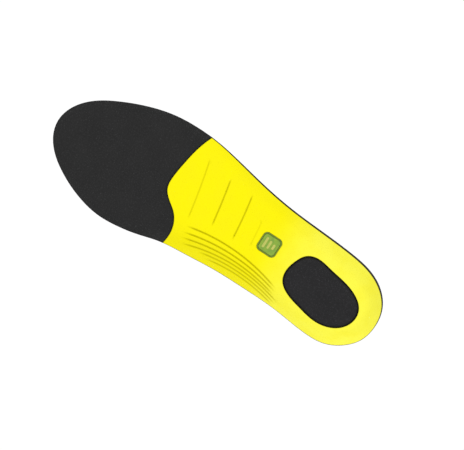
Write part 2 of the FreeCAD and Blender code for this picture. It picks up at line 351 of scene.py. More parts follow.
def crowded(start, span, count, interest):
    """Shares along rays that divide them closely where points are of interest."""
    samples = np.linspace(0.0, 1.0, CROWD_SAMPLES)
    weights = np.stack([interest(start + span * share) for share in samples])
    reached = np.cumsum(weights, axis=0) - weights[0]
    reached /= reached[-1]
    wanted = np.arange(1, count) / count
    return np.stack([np.interp(wanted, reached[:, ray], samples) for ray in range(len(start))], axis=1)


def between(start, end, near, far, count, interest=None):
    """Plan rows from one loop to another: fine steps at both ends, even or crowded between.

    Gives the rows, each row's distances from the start, and the gap between the loops.
    """
    gap = np.linalg.norm(end - start, axis=1)
    room = gap * STEPS_SHARE
    near = [np.minimum(step, room * (n + 1) / len(near)) for n, step in enumerate(near)]
    far = [gap - np.minimum(step, room * (n + 1) / len(far)) for n, step in enumerate(far)]
    first = near[-1] if near else np.zeros_like(gap)
    last = far[-1] if far else gap
    direction = (end - start) / gap[:, None]
    shares = np.arange(1, count) / count
    if interest is not None:
        span = direction * (last - first)[:, None]
        shares = crowded(start + direction * first[:, None], span, count, interest)
    middle = [first + (last - first) * share for share in shares]
    distances = [np.zeros_like(gap)] + near + middle + far[::-1] + [gap]
    return [start + direction * distance[:, None] for distance in distances], distances, gap


def lifted(row, height):
    """Plan points with their heights."""
    return np.column_stack([row, height])


# ---------------------------------------------------------------- relief of the sole

# Grooves along the arch wall and steps across the shank: start, middle and end of each, and
# for a step also its strength.
ARCH_RIBS = (
    ((80.0, 19.8), (120.0, 13.6), (154.0, 17.3)),
    ((79.0, 22.3), (118.0, 17.4), (154.0, 22.3)),
    ((79.0, 24.8), (116.0, 20.6), (153.0, 26.3)),
    ((73.0, 28.3), (114.0, 23.2), (151.0, 30.0)),
    ((75.0, 30.0), (108.0, 25.7), (137.0, 28.8)),
    ((76.0, 32.0), (106.0, 28.2), (130.0, 30.4)),
)
SHANK_STEPS = (
    ((110.1, 3.5), (110.9, -4.7), (112.4, -14.7), 0.35),
    ((123.6, 6.3), (125.6, -9.7), (128.6, -26.7), 1.0),
    ((141.9, 6.3), (144.7, -9.7), (148.4, -27.7), 1.0),
    ((159.7, 11.3), (164.0, -9.7), (169.4, -31.7), 0.6),
)
RIB_WIDTH = 1.9
RIB_DEPTH = 0.95
RIB_FADE = 9.0
STEP_WIDTH = 1.9
STEP_DEPTH = 0.6
STEP_FADE = 5.0
STEP_RAMP = 6.0
STEP_RAMP_DEPTH = 0.16
BADGE_CENTRE = np.array([-4.0, -41.7])
BADGE_SIZE = np.array([15.4, 16.0])
BADGE_CORNER = 3.6
BADGE_SEAT = 1.0
SEAT_EDGE = 0.9
STEP_CROWDING = 6.0
SEAT_CROWDING = 3.0
EDGE_ROUND = 0.6


def arc_of(start, middle, end):
    """Centre, radius, and the arc's own frame: how far along it a point lies, and how far off."""
    a, b, c = plan([start, middle, end])
    system = 2 * np.array([b - a, c - a])
    centre = np.linalg.solve(system, np.array([b @ b - a @ a, c @ c - a @ a]))
    radius = np.linalg.norm(a - centre)
    first = math.atan2(*(a - centre)[::-1])
    sweep = (math.atan2(*(c - centre)[::-1]) - first + math.pi) % TAU - math.pi

    def measure(points):
        offset = points - centre
        away = np.linalg.norm(offset, axis=1) - radius
        angle = (np.arctan2(offset[:, 1], offset[:, 0]) - first + math.pi) % TAU - math.pi
        return angle / sweep * abs(sweep) * radius, away * -np.sign(sweep), abs(sweep) * radius

    return measure


RIB_ARCS = [arc_of(*rib) for rib in ARCH_RIBS]
STEP_ARCS = [(arc_of(*step[:3]), step[3]) for step in SHANK_STEPS]


def ends_fade(along, length, fade):
    """Fades a groove in and out at its two ends."""
    return smooth(along / fade + 0.5) * smooth((length - along) / fade + 0.5)


def rounded_box(points, centre, size, corner):
    """Distance outside a rounded rectangle, negative inside it."""
    beyond = np.abs(points - centre) - size / 2 + corner
    outside = np.linalg.norm(np.maximum(beyond, 0.0), axis=1)
    return outside + np.minimum(beyond.max(axis=1), 0.0) - corner


def badge_distance(points):
    return rounded_box(points, BADGE_CENTRE, BADGE_SIZE, BADGE_CORNER)


def sole_relief(points):
    """Depth of the cradle's moulded relief at plan points, and the painted shade of its grooves and of
    the badge's seat.
    """
    depth = np.zeros(len(points))
    shade = np.zeros(len(points))
    for measure in RIB_ARCS:
        along, away, length = measure(points)
        groove = smooth(1 - np.abs(away) / (RIB_WIDTH / 2)) * ends_fade(along, length, RIB_FADE)
        depth = np.maximum(depth, RIB_DEPTH * groove)
        shade = np.maximum(shade, groove)
    for measure, strength in STEP_ARCS:
        along, away, length = measure(points)
        fade = ends_fade(along, length, STEP_FADE) * strength
        groove = smooth(1 - np.abs(away) / (STEP_WIDTH / 2))
        ramp = STEP_RAMP_DEPTH * smooth(1 - away / STEP_RAMP) * smooth(away / STEP_WIDTH + 0.5)
        depth = np.maximum(depth, np.maximum(STEP_DEPTH * groove, ramp) * fade)
        shade = np.maximum(shade, groove * fade)
    seat = smooth(0.5 - badge_distance(points) / SEAT_EDGE)
    return np.maximum(depth, BADGE_SEAT * seat), np.maximum(shade, seat)


def moulded_detail(points):
    """How much closer the mesh rows lie over the shank's steps and the badge's edge."""
    weight = np.ones(len(points))
    for measure, _ in STEP_ARCS:
        along, away, length = measure(points)
        weight += STEP_CROWDING * np.exp(-(away / STEP_WIDTH) ** 2) * ends_fade(along, length, STEP_FADE)
    return weight + SEAT_CROWDING * np.exp(-(badge_distance(points) / SEAT_EDGE) ** 2)


def edge_rounding(distance, radius):
    """How far a surface has rolled away at a distance from its edge."""
    inside = np.clip(1 - distance / radius, 0.0, 1.0)
    return radius * (1 - np.sqrt(1 - inside**2))


# ---------------------------------------------------------------- mesh building


def mesh_piece(name, points, faces, material):
    mesh = bpy.data.meshes.new(name)
    mesh.from_pydata((np.asarray(points) * MM).tolist(), [], faces)
    mesh.validate()
    mesh.polygons.foreach_set("use_smooth", [True] * len(mesh.polygons))
    piece = bpy.data.objects.new(name, mesh)
    bpy.context.scene.collection.objects.link(piece)
    mesh.materials.append(material)
    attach(piece, "root")
    return piece


def band_faces(rows, rays, wrap):
    """Quads between rows of rays, closed round the rays, and from the last row to the first."""
    faces = []
    for row in range(rows if wrap else rows - 1):
        low, high = row * rays, (row + 1) % rows * rays
        for ray in range(rays):
            beside = (ray + 1) % rays
            faces.append((low + ray, low + beside, high + beside, high + ray))
    return faces


def ring_piece(name, rows, material):
    """Closed solid from rows that run round a hole and back to the first row."""
    rays = len(rows[0])
    return mesh_piece(name, np.vstack(rows), band_faces(len(rows), rays, True), material)


def pole_piece(name, first, rows, last, material):
    """Closed solid from a first point, over rows, to a last point."""
    rays = len(rows[0])
    points = np.vstack([*rows, first, last])
    faces = band_faces(len(rows), rays, False)
    end = (len(rows) - 1) * rays
    for ray in range(rays):
        beside = (ray + 1) % rays
        faces.append((beside, ray, len(points) - 2))
        faces.append((end + ray, end + beside, len(points) - 1))
    return mesh_piece(name, points, faces, material)


def groove_shade(piece, values):
    """Stores the painted shade of each point, strongest deep in a groove or at an edge, for the material
    to darken.
    """
    layer = piece.data.attributes.new("groove", "FLOAT", "POINT")
    layer.data.foreach_set("value", np.clip(values, 0.0, 1.0).astype(np.float32))


# ---------------------------------------------------------------- materials

WALES_PER_MM = 0.55
COURSES_PER_MM = 0.50
# The heel's paler yellow is painted light; the arch, groove and foam crevice colours are painted shade.
HEEL_LIT_YELLOW = (0.830, 0.795, 0.060, 1)
SOLE_YELLOW = (0.825, 0.750, 0.003, 1)
ARCH_SHADE_YELLOW = (0.690, 0.620, 0.003, 1)
MOTTLE_YELLOW = (0.780, 0.700, 0.008, 1)
SPECK_YELLOW = (0.640, 0.570, 0.002, 1)
GROOVE_SHADE_YELLOW = (0.430, 0.385, 0.0, 1)
HEEL_FADE = (-78.0, -36.0)
ARCH_SHADE_FADE = (10.0, 34.0)
FOAM_CREVICE_SHADE = (0.003, 0.003, 0.003, 1)
DARK_YARN = (0.013, 0.0135, 0.015, 1)
PALE_YARN = (0.032, 0.033, 0.036, 1)
WORN_YARN = (0.034, 0.035, 0.038, 1)
BETWEEN_LOOPS = (0.004, 0.004, 0.005, 1)


class Nodes:
    """Short hand for one material's node tree, whose textures are measured in millimetres."""

    def __init__(self, name):
        self.material = bpy.data.materials.new(name)
        self.material.use_nodes = True
        self.tree = self.material.node_tree
        self.shader = self.tree.nodes["Principled BSDF"]
        coordinates = self.tree.nodes.new("ShaderNodeTexCoord")
        scaled = self.tree.nodes.new("ShaderNodeMapping")
        scaled.inputs["Scale"].default_value = (1 / MM, 1 / MM, 1 / MM)
        self.link(coordinates.outputs["Object"], scaled.inputs["Vector"])
        self.place = scaled.outputs["Vector"]

    def link(self, source, target):
        self.tree.links.new(source, target)

    def put(self, source, target):
        """Links a node's output to a socket, or sets the socket to a value."""
        if hasattr(source, "is_output"):
            self.link(source, target)
        else:
            target.default_value = source

    def noise(self, per_mm, detail=3.0, roughness=0.55):
        node = self.tree.nodes.new("ShaderNodeTexNoise")
        node.inputs["Scale"].default_value = per_mm
        node.inputs["Detail"].default_value = detail
        node.inputs["Roughness"].default_value = roughness
        self.link(self.place, node.inputs["Vector"])
        return node.outputs["Fac"]

    def cells(self, per_mm):
        node = self.tree.nodes.new("ShaderNodeTexVoronoi")
        node.inputs["Scale"].default_value = per_mm
        self.link(self.place, node.inputs["Vector"])
        return node.outputs["Distance"]

    def maths(self, operation, first, second):
        node = self.tree.nodes.new("ShaderNodeMath")
        node.operation = operation
        self.put(first, node.inputs[0])
        self.put(second, node.inputs[1])
        return node.outputs[0]

    def ramp(self, value, low, high, start=0.0, end=1.0):
        """Soft change from start to end as a value goes from low to high."""
        node = self.tree.nodes.new("ShaderNodeMapRange")
        node.interpolation_type = "SMOOTHSTEP"
        self.put(value, node.inputs["Value"])
        for socket, number in zip(("From Min", "From Max", "To Min", "To Max"), (low, high, start, end)):
            node.inputs[socket].default_value = number
        return node.outputs["Result"]

    def mix(self, share, first, second):
        node = self.tree.nodes.new("ShaderNodeMix")
        node.data_type = "RGBA"
        self.put(share, node.inputs["Factor"])
        self.put(first, node.inputs["A"])
        self.put(second, node.inputs["B"])
        return node.outputs["Result"]

    def axis(self, name):
        node = self.tree.nodes.new("ShaderNodeSeparateXYZ")
        self.link(self.place, node.inputs[0])
        return node.outputs[name]

    def attribute(self, name):
        node = self.tree.nodes.new("ShaderNodeAttribute")
        node.attribute_name = name
        return node.outputs["Fac"]

    def bump(self, height, depth_mm, below=None):
        node = self.tree.nodes.new("ShaderNodeBump")
        node.inputs["Distance"].default_value = depth_mm * MM
        self.link(height, node.inputs["Height"])
        if below is not None:
            self.link(below, node.inputs["Normal"])
        return node.outputs["Normal"]

    def finish(self, colour, roughness, normal, specular=0.2, sheen=0.0, sheen_roughness=0.5):
        self.put(colour, self.shader.inputs["Base Color"])
        self.put(roughness, self.shader.inputs["Roughness"])
        self.link(normal, self.shader.inputs["Normal"])
        self.shader.inputs["Specular IOR Level"].default_value = specular
        self.shader.inputs["Sheen Weight"].default_value = sheen
        self.shader.inputs["Sheen Roughness"].default_value = sheen_roughness
        return self.material


def moulded_yellow():
    """Matt moulded foam: fine skin grain, painted light that makes the heel paler, painted shade that
    deepens the inner wall of the arch, and painted shade in its grooves.
    """
    n = Nodes("moulded_yellow_foam")
    # Painted light: the flat heel is painted paler, as if more brightly lit.
    past_heel = n.ramp(n.axis("Y"), *HEEL_FADE)
    colour = n.mix(past_heel, HEEL_LIT_YELLOW, SOLE_YELLOW)
    # Painted shade: the inner wall of the arch is painted deeper, as if turned from the light.
    arch = n.ramp(n.axis("X"), *ARCH_SHADE_FADE, 0.0, 0.45)
    colour = n.mix(n.maths("MULTIPLY", arch, past_heel), colour, ARCH_SHADE_YELLOW)
    mottle = n.ramp(n.noise(0.07, 4.0), 0.35, 0.7, 0.0, 0.3)
    colour = n.mix(mottle, colour, MOTTLE_YELLOW)
    speck = n.ramp(n.noise(1.1, 3.0, 0.65), 0.55, 0.78, 0.0, 0.28)
    colour = n.mix(speck, colour, SPECK_YELLOW)
    # Painted shade in the grooves, along the cradle's edges and on its hidden face, from the stored
    # groove shade.
    groove = n.maths("MULTIPLY", n.attribute("groove"), 0.75)
    colour = n.mix(groove, colour, GROOVE_SHADE_YELLOW)
    grain = n.bump(n.noise(1.6, 5.0, 0.65), depth_mm=0.14)
    pores = n.bump(n.ramp(n.cells(1.2), 0.05, 0.42), depth_mm=0.06, below=grain)
    roughness = n.ramp(n.noise(0.8, 3.0), 0.3, 0.7, 0.62, 0.78)
    return n.finish(colour, roughness, pores, specular=0.03)


def black_foam(name, colour, fleck, pore_mm, depth_mm):
    """Closed-cell foam: small round pores, a few paler flecks and a broad faint mottle."""
    n = Nodes(name)
    mottle = n.ramp(n.noise(0.05, 4.0), 0.3, 0.75, 0.0, 0.5)
    body = n.mix(mottle, (*colour, 1), tuple(1.35 * part for part in colour) + (1,))
    flecks = n.ramp(n.noise(1.2, 4.0, 0.7), 0.52, 0.74, 0.0, 0.7)
    body = n.mix(flecks, body, (*fleck, 1))
    # Painted shade along the seam at the cradle's front edge and round the heel pad, from the stored
    # groove shade.
    groove = n.maths("MULTIPLY", n.attribute("groove"), 0.85)
    body = n.mix(groove, body, FOAM_CREVICE_SHADE)
    cells = n.bump(n.ramp(n.cells(1 / pore_mm), 0.06, 0.5), depth_mm)
    grain = n.bump(n.noise(1.4 / pore_mm, 4.0, 0.7), depth_mm, below=cells)
    roughness = n.ramp(n.noise(0.6, 3.0), 0.3, 0.7, 0.74, 0.9)
    return n.finish(body, roughness, grain, specular=0.12, sheen=0.03, sheen_roughness=0.6)


def knit_cover():
    """Warp knit laid over the bowl: columns of small slanted loops, heathered yarn, soft nap."""
    n = Nodes("knit_cover_fabric")
    cloth = n.tree.nodes.new("ShaderNodeAttribute")
    cloth.attribute_name = "cloth"
    n.place = cloth.outputs["Vector"]
    column = n.maths("PINGPONG", n.maths("MULTIPLY", n.axis("X"), WALES_PER_MM), 0.5)
    slant = n.maths("MULTIPLY", column, 0.9)
    course = n.maths("ADD", n.maths("MULTIPLY", n.axis("Y"), COURSES_PER_MM), slant)
    along_loop = n.ramp(n.maths("PINGPONG", course, 0.5), 0.05, 0.38)
    loop = n.maths("MULTIPLY", along_loop, n.ramp(column, 0.03, 0.22))
    heather = n.ramp(n.noise(0.45, 5.0, 0.75), 0.35, 0.68)
    yarn = n.mix(heather, DARK_YARN, PALE_YARN)
    colour = n.mix(n.ramp(loop, 0.0, 0.9), BETWEEN_LOOPS, yarn)
    wear = n.ramp(n.noise(0.03, 3.0), 0.4, 0.75, 0.0, 0.3)
    colour = n.mix(wear, colour, WORN_YARN)
    ripple = n.bump(n.noise(0.06, 2.0), depth_mm=0.5)
    weave = n.bump(loop, depth_mm=0.30, below=ripple)
    fuzz = n.bump(n.noise(4.0, 3.0, 0.7), depth_mm=0.08, below=weave)
    return n.finish(colour, 0.9, fuzz, specular=0.10, sheen=0.12, sheen_roughness=0.5)


def soft_plastic(name, colour, darker, roughness):
    """Satin moulded plastic with a faint flow mottle and a few dark specks."""
    n = Nodes(name)
    flow = n.ramp(n.noise(0.35, 4.0), 0.3, 0.7)
    body = n.mix(flow, (*colour, 1), (*darker, 1))
    specks = n.ramp(n.noise(4.0, 2.0), 0.62, 0.8, 0.0, 0.35)
    body = n.mix(specks, body, tuple(0.7 * part for part in darker) + (1,))
    grain = n.bump(n.noise(5.0, 4.0), depth_mm=0.03)
    rough = n.ramp(n.noise(1.5, 3.0), 0.3, 0.7, roughness - 0.08, roughness + 0.08)
    return n.finish(body, rough, grain, specular=0.35)


yellow = moulded_yellow()
base_black = black_foam("black_eva_foam", (0.0135, 0.0135, 0.0135), (0.065, 0.065, 0.067), 0.42, 0.06)
pad_black = black_foam("heel_pad_foam", (0.0130, 0.0128, 0.0135), (0.060, 0.058, 0.063), 0.30, 0.045)
comfort_grey = black_foam("charcoal_open_foam", (0.044, 0.046, 0.050), (0.11, 0.11, 0.12), 0.60, 0.10)
ball_grey = black_foam("ball_pad_foam", (0.075, 0.080, 0.088), (0.14, 0.145, 0.15), 0.50, 0.05)
cover_knit = knit_cover()
badge_green = soft_plastic("badge_green", (0.225, 0.355, 0.028), (0.160, 0.290, 0.032), 0.45)
badge_olive = soft_plastic("badge_olive_edge", (0.150, 0.210, 0.010), (0.110, 0.170, 0.015), 0.50)
badge_pale = soft_plastic("badge_pale_mark", (0.440, 0.460, 0.100), (0.400, 0.430, 0.080), 0.50)

# ---------------------------------------------------------------- the cradle and the heel pad

# The steps are the distances of the mesh rows that lie closest to an edge.
CRADLE_ROWS = 120
EDGE_STEPS = (0.12, 0.32, 0.60, 1.0)
HIDDEN_ROWS = 6
HIDDEN_STEPS = (0.5, 1.1, 1.8, 2.7, 3.8, 5.2, 7.0, 9.2, 12.0, 15.5, 20.0)
CORNER_BLEND = 9.0
PAD_GAP = 0.55
PAD_SHADE_WIDTH = 1.5
PAD_ROWS = 34
PAD_EDGE_STEPS = (0.15, 0.45, 0.9, 1.5)
PAD_EDGE = 1.3
PAD_SHADE_START = 1.2
PAD_RECESS = 0.5
PAD_CROWN = 0.35
PAD_CROWN_RUN = 9.0
PAD_BACK_EVERY = 6
# The next two are painted shade: along the cradle's rolled edges, and on its hidden glued face.
SEAM_SHADE = 0.8
HIDDEN_SHADE = 0.6


def cradle_top_loop():
    """The cradle's edge at its upper face: square to the wall, and upright across the front."""
    rear = bowl(rear_turns, cradle_rise(rear_turns), CRADLE_SHARE)
    ends = bowl(corner_turns, cradle_rise(corner_turns), CRADLE_SHARE)[:, :2]
    shift = np.linalg.norm(ends - corners, axis=1)
    along = spread(0.0, front_knots[-1], FRONT_RAYS)
    from_end = front_knots[-1] - along
    inner_shift = shift[0] * smooth(1 - along / CORNER_BLEND)
    outer_shift = shift[1] * smooth(1 - from_end / CORNER_BLEND)
    front = front_curve(along + inner_shift - outer_shift)
    return np.vstack([lifted(front, cradle_top_height(front)), rear])


def build_cradle(top_edge):
    """Moulded shell: the sole with its relief, then back over the glued upper face."""
    rows, distances, gap = between(
        window_loop, cradle_loop, EDGE_STEPS, EDGE_STEPS, CRADLE_ROWS, moulded_detail
    )
    outer, shade = [], []
    for row, distance in zip(rows, distances):
        relief, dark = sole_relief(row)
        rolled = edge_rounding(distance, EDGE_ROUND) + edge_rounding(gap - distance, EDGE_ROUND)
        outer.append(lifted(row, sole_height(row) + relief + rolled))
        # Painted shade in the relief's grooves and along the rolled edges.
        shade.append(np.maximum(dark, SEAM_SHADE * rolled / EDGE_ROUND))
    hidden_plan = between(top_edge[:, :2], window_loop, HIDDEN_STEPS, (), HIDDEN_ROWS)[0]
    hidden = [top_edge] + [lifted(row, cradle_top_height(row)) for row in hidden_plan[1:]]
    piece = ring_piece("cradle_shell", outer + hidden, yellow)
    groove_shade(piece, np.concatenate(shade + [np.full(len(row), HIDDEN_SHADE) for row in hidden]))
    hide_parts("arch_cradle")


def build_heel_pad():
    """Soft pad in the window: a rolled edge, a slight crown, and a flat glued back."""
    towards = PAD_CENTRE - window_loop
    towards /= np.linalg.norm(towards, axis=1)[:, None]
    edge = window_loop + towards * PAD_GAP
    centre = np.broadcast_to(PAD_CENTRE, edge.shape)
    rows, distances, _ = between(edge, centre, PAD_EDGE_STEPS, (), PAD_ROWS)
    face, shade = [], []
    for row, distance in zip(rows[:-1], distances[:-1]):
        crown = PAD_CROWN * smooth(distance / PAD_CROWN_RUN)
        depth = PAD_RECESS - crown + edge_rounding(distance, PAD_EDGE)
        face.append(lifted(row, sole_height(row) + depth))
        # Painted shade round the pad's rolled edge, where it sits recessed in the window.
        shade.append(smooth(PAD_SHADE_START - distance / PAD_SHADE_WIDTH))
    back = [lifted(row, cradle_top_height(row)) for row in rows[:-1:PAD_BACK_EVERY]]
    low = np.append(PAD_CENTRE, PAD_RECESS - PAD_CROWN)
    high = np.append(PAD_CENTRE, cradle_top_height([PAD_CENTRE])[0])
    piece = pole_piece("heel_cushion", low, face[::-1] + back, high, pad_black)
    hidden = np.zeros(sum(len(row) for row in back) + 2)
    groove_shade(piece, np.concatenate(shade[::-1] + [hidden]))
    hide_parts("heel_pad")


cradle_top_edge = cradle_top_loop()
build_cradle(cradle_top_edge)
build_heel_pad()

# ---------------------------------------------------------------- the full-length layers

FOREFOOT_ROWS = 60
RIM_STEPS = (0.25, 0.6, 1.2, 2.2, 3.6)
RIM_LIFT = 0.2
SEAM_DEPTH = 0.55
SEAM_WIDTH = 1.3
SEAM_STEEPNESS = 1.4
RIM_ROUND = 0.45
EDGE_BULGE = 0.20
EDGE_TUCK = 0.06
HIDDEN_RISES = (0.0, 0.2, 0.38, 0.54, 0.68, 0.80, 0.89, 0.96)
EDGE_LEVELS = 6


def floor_centre(share):
    """The middle of an interface's floor."""
    return np.array([*CENTRE, share * floor_thickness(CENTRE[1])])


def hidden_rise(share):
    """Rows from the floor up to just under the rim, on an interface that nobody sees."""
    return [bowl(all_turns, rise, share) for rise in HIDDEN_RISES]


wall_run = rim(all_turns)[:, :2] - wall_foot(all_turns)
run_length = np.linalg.norm(wall_run, axis=1)
outward_turns = wall_run / run_length[:, None]


def edge_strip(low, high):
    """Rows up the trimmed edge of one layer, a little proud between its glue lines."""
    rows = []
    for level in range(EDGE_LEVELS + 1):
        share = level / EDGE_LEVELS
        row = bowl(all_turns, 1.0, low + (high - low) * share)
        proud = EDGE_BULGE * math.sin(math.pi * share) - EDGE_TUCK
        row[:, :2] += outward_turns * proud
        rows.append(row)
    return rows


def build_base_foam():
    """Full-length foam: over the cradle, out under the forefoot, round the rim and back."""
    start = np.broadcast_to(CENTRE, cradle_top_edge[:, :2].shape)
    hidden_plan = between(start, cradle_top_edge[:, :2], (), HIDDEN_STEPS, HIDDEN_ROWS)[0]
    over_cradle = [lifted(row, cradle_top_height(row)) for row in hidden_plan[1:-1]]
    over_cradle.append(cradle_top_edge)
    rows, distances, gap = between(cradle_loop, rim_loop, EDGE_STEPS, RIM_STEPS, FOREFOOT_ROWS)
    front = np.concatenate([np.ones(FRONT_RAYS), np.zeros(REAR_RAYS)])
    skin, shade = [], []
    for row, distance in zip(rows, distances):
        seam = smooth(SEAM_STEEPNESS * (1 - distance / SEAM_WIDTH))
        depth = SEAM_DEPTH * seam * front + edge_rounding(gap - distance, RIM_ROUND)
        skin.append(lifted(row, sole_height(row) + depth))
        # Painted shade along the seam at the cradle's front edge.
        shade.append(seam)
    trim, *edge = edge_strip(0.0, BASE_SHARE)
    skin[-1] = trim + [0.0, 0.0, RIM_LIFT]
    top = hidden_rise(BASE_SHARE)[::-1]
    piece = pole_piece(
        "base_foam_body", floor_centre(CRADLE_SHARE), over_cradle + skin + edge + top,
        floor_centre(BASE_SHARE), base_black,
    )
    before = np.zeros(sum(len(row) for row in over_cradle))
    after = np.zeros(sum(len(row) for row in edge + top) + 2)
    groove_shade(piece, np.concatenate([before] + shade + [after]))
    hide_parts("base_foam")


def build_comfort_foam():
    """Softer full-length foam, seen only at its trimmed edge."""
    edge = edge_strip(BASE_SHARE, COMFORT_SHARE)
    rows = hidden_rise(BASE_SHARE) + edge + hidden_rise(COMFORT_SHARE)[::-1]
    piece = pole_piece(
        "comfort_foam_layer", floor_centre(BASE_SHARE), rows, floor_centre(COMFORT_SHARE),
        comfort_grey,
    )
    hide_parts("comfort_foam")


COVER_WALL_ROWS = 36
COVER_FLOOR_ROWS = 64
COVER_EDGE_ROLL = 0.5
DOME_CENTRE = np.array([-1.0, 32.0])
DOME_RADIUS = np.array([21.0, 26.0])
DOME_HEIGHT = 1.9


def foot_side_relief(points):
    """The raised support behind the ball of the foot."""
    away = np.linalg.norm((points - DOME_CENTRE) / DOME_RADIUS, axis=1)
    return DOME_HEIGHT * smooth(1 - away)


def lay_cloth(piece, hidden, wall, floor):
    """Stores each point's place on the cloth before it was pressed into the bowl."""
    reach = np.zeros(len(wall[0]))
    flat = [wall[-1][:, :2]]
    for lower, upper in zip(wall[:0:-1], wall[-2::-1]):
        reach = reach + np.linalg.norm(upper - lower, axis=1)
        flat.append(wall[-1][:, :2] + outward_turns * reach[:, None])
    flat = [flat[-1]] * len(hidden) + flat[::-1] + [row[:, :2] for row in floor]
    places = np.vstack(flat + [CENTRE, CENTRE])
    places = np.column_stack([places, np.zeros(len(places))])
    layer = piece.data.attributes.new("cloth", "FLOAT_VECTOR", "POINT")
    layer.data.foreach_set("vector", places.astype(np.float32).ravel())


def build_top_cover():
    """Knit cover: glued underside, trimmed edge, and the side that the foot rests on."""
    hidden = hidden_rise(COMFORT_SHARE) + edge_strip(COMFORT_SHARE, 1.0)[:-1]
    wall = []
    for number in range(COVER_WALL_ROWS + 1):
        rise = 1 - smooth(number / COVER_WALL_ROWS)
        row = bowl(all_turns, rise, 1.0)
        rolled = edge_rounding((1 - rise) * run_length, COVER_EDGE_ROLL)
        row[:, 2] += foot_side_relief(row[:, :2]) - rolled
        wall.append(row)
    floor = []
    for number in range(1, COVER_FLOOR_ROWS):
        share = number / COVER_FLOOR_ROWS
        row = bowl(all_turns, 0.0, 1.0) * (1 - share) + floor_centre(1.0) * share
        row[:, 2] += foot_side_relief(row[:, :2])
        floor.append(row)
    high = floor_centre(1.0)
    high[2] += foot_side_relief(high[None, :2])[0]
    piece = pole_piece(
        "knit_top_cover", floor_centre(COMFORT_SHARE), hidden + wall + floor,
        high, cover_knit,
    )
    lay_cloth(piece, hidden, wall, floor)
    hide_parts("top_cover")


build_base_foam()
build_comfort_foam()
build_top_cover()

ball_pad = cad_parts["ball_pad"]
ball_pad.data.materials.clear()
ball_pad.data.materials.append(ball_grey)

# ---------------------------------------------------------------- badge

BADGE_RECESS = 0.30
BADGE_THICKNESS = 0.9
BADGE_RAYS = 160
PLATE_EDGE = 0.35
PLATE_EDGE_ROWS = 6
PLATE_FACE_ROWS = 12
CROWN_STEEPNESS = 1.6
FACE_CROWN = 0.04
BORDER_WIDTH = 1.25
BORDER_RISE = 0.16
BORDER_SINK = 0.45
BORDER_OVERLAP = 0.08
BORDER_SECTIONS = 20
BAR_WIDTH = 1.9
BAR_LENGTH = 6.6
BAR_STEP = 2.2
BAR_PITCH = 3.5
BAR_HEIGHT = 0.2
BAR_SINK = 0.1
BAR_CROWN = 0.05
CORNER_SIDES = ((1, 1), (-1, 1), (-1, -1), (1, -1))


def rounded_loop(centre, size, corner, count):
    """Even points round a rounded rectangle."""
    half = np.asarray(size) / 2
    corner = min(corner, *half)
    straight = 2 * (half - corner)
    quarter = corner * math.pi / 2
    lengths = [straight[1], quarter, straight[0], quarter] * 2
    ends = np.cumsum(lengths)
    points = []
    for along in spread(0.0, ends[-1], count):
        side = int(np.searchsorted(ends, along, side="right"))
        past = along - (ends[side] - lengths[side])
        heading_out = (side // 2) * math.pi / 2
        if side % 2:
            hub = (half - corner) * CORNER_SIDES[side // 2]
            angle = heading_out + past / corner
            points.append(hub + corner * np.array([math.cos(angle), math.sin(angle)]))
        else:
            out = np.array([math.cos(heading_out), math.sin(heading_out)])
            ahead = np.array([-out[1], out[0]])
            middle = out * (half[0] if side % 4 == 0 else half[1])
            points.append(middle + ahead * (past - lengths[side] / 2))
    return np.array(points) + centre


def crowned_plate(name, centre, size, corner, low, high, crown, material):
    """Plate between two heights whose lower face bulges down, with a rolled edge."""
    radius = min(PLATE_EDGE, (high - low) / 2)
    rows = []
    for step in range(PLATE_EDGE_ROWS + 1):
        angle = math.pi / 2 * step / PLATE_EDGE_ROWS
        shrink = 2 * radius * (1 - math.sin(angle))
        loop = rounded_loop(centre, np.array(size) - shrink, corner - shrink / 2, BADGE_RAYS)
        rows.append(lifted(loop, np.full(BADGE_RAYS, low + radius * (1 - math.cos(angle)))))
    face = []
    for step in range(1, PLATE_FACE_ROWS):
        share = step / PLATE_FACE_ROWS
        inner = rows[0][:, :2] * (1 - share) + np.asarray(centre) * share
        height = low - crown * smooth(share * CROWN_STEEPNESS)
        face.append(lifted(inner, np.full(BADGE_RAYS, height)))
    back = lifted(rows[-1][:, :2], np.full(BADGE_RAYS, high))
    first = np.array([*centre, low - crown])
    last = np.array([*centre, high])
    return pole_piece(name, first, face[::-1] + rows + [back], last, material)


def build_badge():
    """Green plate in a raised olive border, with three plain bars as its mark."""
    face_size = BADGE_SIZE - 2 * BORDER_WIDTH
    face = crowned_plate(
        "badge_face", BADGE_CENTRE, face_size, BADGE_CORNER - BORDER_WIDTH,
        BADGE_RECESS, BADGE_RECESS + BADGE_THICKNESS, FACE_CROWN, badge_green,
    )
    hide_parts("badge_plate")
    rows = []
    for step in range(BORDER_SECTIONS):
        angle = TAU * step / BORDER_SECTIONS
        shift = BORDER_WIDTH / 2 * (1 + math.cos(angle)) - BORDER_OVERLAP
        loop = rounded_loop(BADGE_CENTRE, BADGE_SIZE - 2 * shift, BADGE_CORNER - shift, BADGE_RAYS)
        height = BADGE_RECESS + BORDER_SINK - (BORDER_SINK + BORDER_RISE) * math.sin(angle)
        rows.append(lifted(loop, np.full(BADGE_RAYS, height)))
    border = ring_piece("badge_border", rows, badge_olive)
    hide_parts("badge_plate")
    for number in (-1, 0, 1):
        centre = BADGE_CENTRE + np.array([0.0, number * BAR_PITCH])
        size = (BAR_LENGTH + number * BAR_STEP, BAR_WIDTH)
        bar = crowned_plate(
            f"badge_bar_{number + 2}", centre, size, BAR_WIDTH / 2,
            BADGE_RECESS - BAR_HEIGHT, BADGE_RECESS + BAR_SINK, BAR_CROWN, badge_pale,
        )
        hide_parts("badge_symbol")


build_badge()

# ---------------------------------------------------------------- studio

